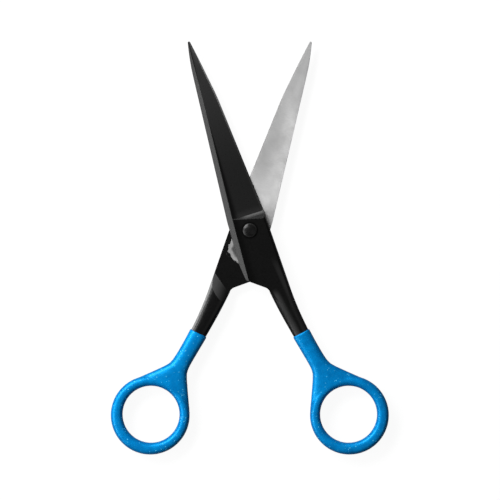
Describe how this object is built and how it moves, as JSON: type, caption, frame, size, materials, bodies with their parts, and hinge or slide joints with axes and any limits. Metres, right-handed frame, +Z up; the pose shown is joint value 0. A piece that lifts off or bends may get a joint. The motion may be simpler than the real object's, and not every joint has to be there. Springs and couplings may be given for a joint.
{
  "type": "office scissors",
  "caption": "Office scissors lying open: black coated forged blades with bare inner faces on a domed rivet, and finger rings with a thick glitter-flecked blue dip coating.",
  "frame": {"origin": "middle of the part's box on the surface it lies on, with the blades as open as shown", "axes": "+Y toward the blade tips, +Z up out of the surface along the rivet toward its domed head, +X to the side of the front half's finger ring"},
  "size_m": [0.1036, 0.154, 0.0071],
  "materials": {
    "black_coated_steel": "satin black coating over ground steel",
    "satin_steel": "satin ground inner face",
    "blue_dip_coating": "glossy dip coating with fine glitter",
    "blackened_rivet": "polished black"
  },
  "bodies": {
    "rear_half": {"rear_blade": "satin_steel", "rear_handle_coating": "blue_dip_coating", "pivot_rivet": "blackened_rivet"},
    "front_half": {"front_blade": "black_coated_steel", "front_handle_coating": "blue_dip_coating"}
  },
  "joints": [
    {"name": "pivot", "type": "hinge", "parent": "rear_half", "child": "front_half", "pos_m": [0, 0.00655, 0.00325], "axis": [0, 0, 1], "range_deg": [-34.8, 85]}
  ]
}
